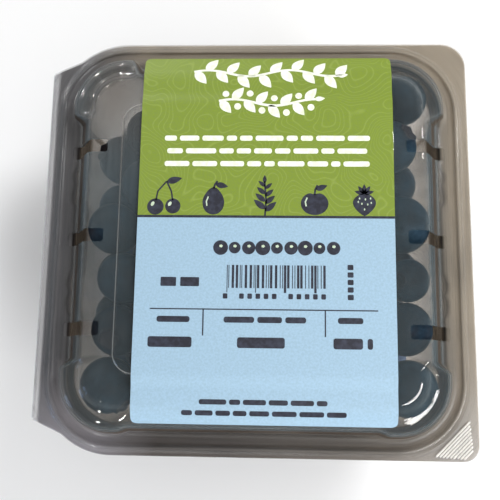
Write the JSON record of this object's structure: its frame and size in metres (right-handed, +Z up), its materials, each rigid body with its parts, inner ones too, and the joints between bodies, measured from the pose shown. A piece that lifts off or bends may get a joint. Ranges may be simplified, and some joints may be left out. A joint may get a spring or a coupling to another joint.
{
  "type": "punnet of blueberries",
  "caption": "Shut clear hinged punnet with vent slots, a raised lid panel and a printed paper label, filled with a heap of blueberries.",
  "frame": {"origin": "on the floor under the middle of the punnet's bounding box", "axes": "+Z up, +X from the hinged edge to the opening edge, -Y towards the front edge"},
  "size_m": [0.1388, 0.136, 0.0453],
  "materials": {
    "tray_plastic": "clear, faintly smoky thermoformed sheet",
    "lid_plastic": "clear, faintly smoky thermoformed sheet",
    "berry_skin": "dark blue skin with a dull pale bloom; stands in for fruit",
    "label_paper": "printed, green above and pale blue below"
  },
  "bodies": {
    "base": {"tray": "tray_plastic", "berries": "berry_skin"},
    "cover": {"lid": "lid_plastic", "label": "label_paper"}
  },
  "joints": [
    {"name": "lid_hinge", "type": "hinge", "parent": "base", "child": "cover", "pos_m": [-0.0694, 0, 0.03415], "axis": [0, -1, 0], "range_deg": [0, 180]}
  ]
}
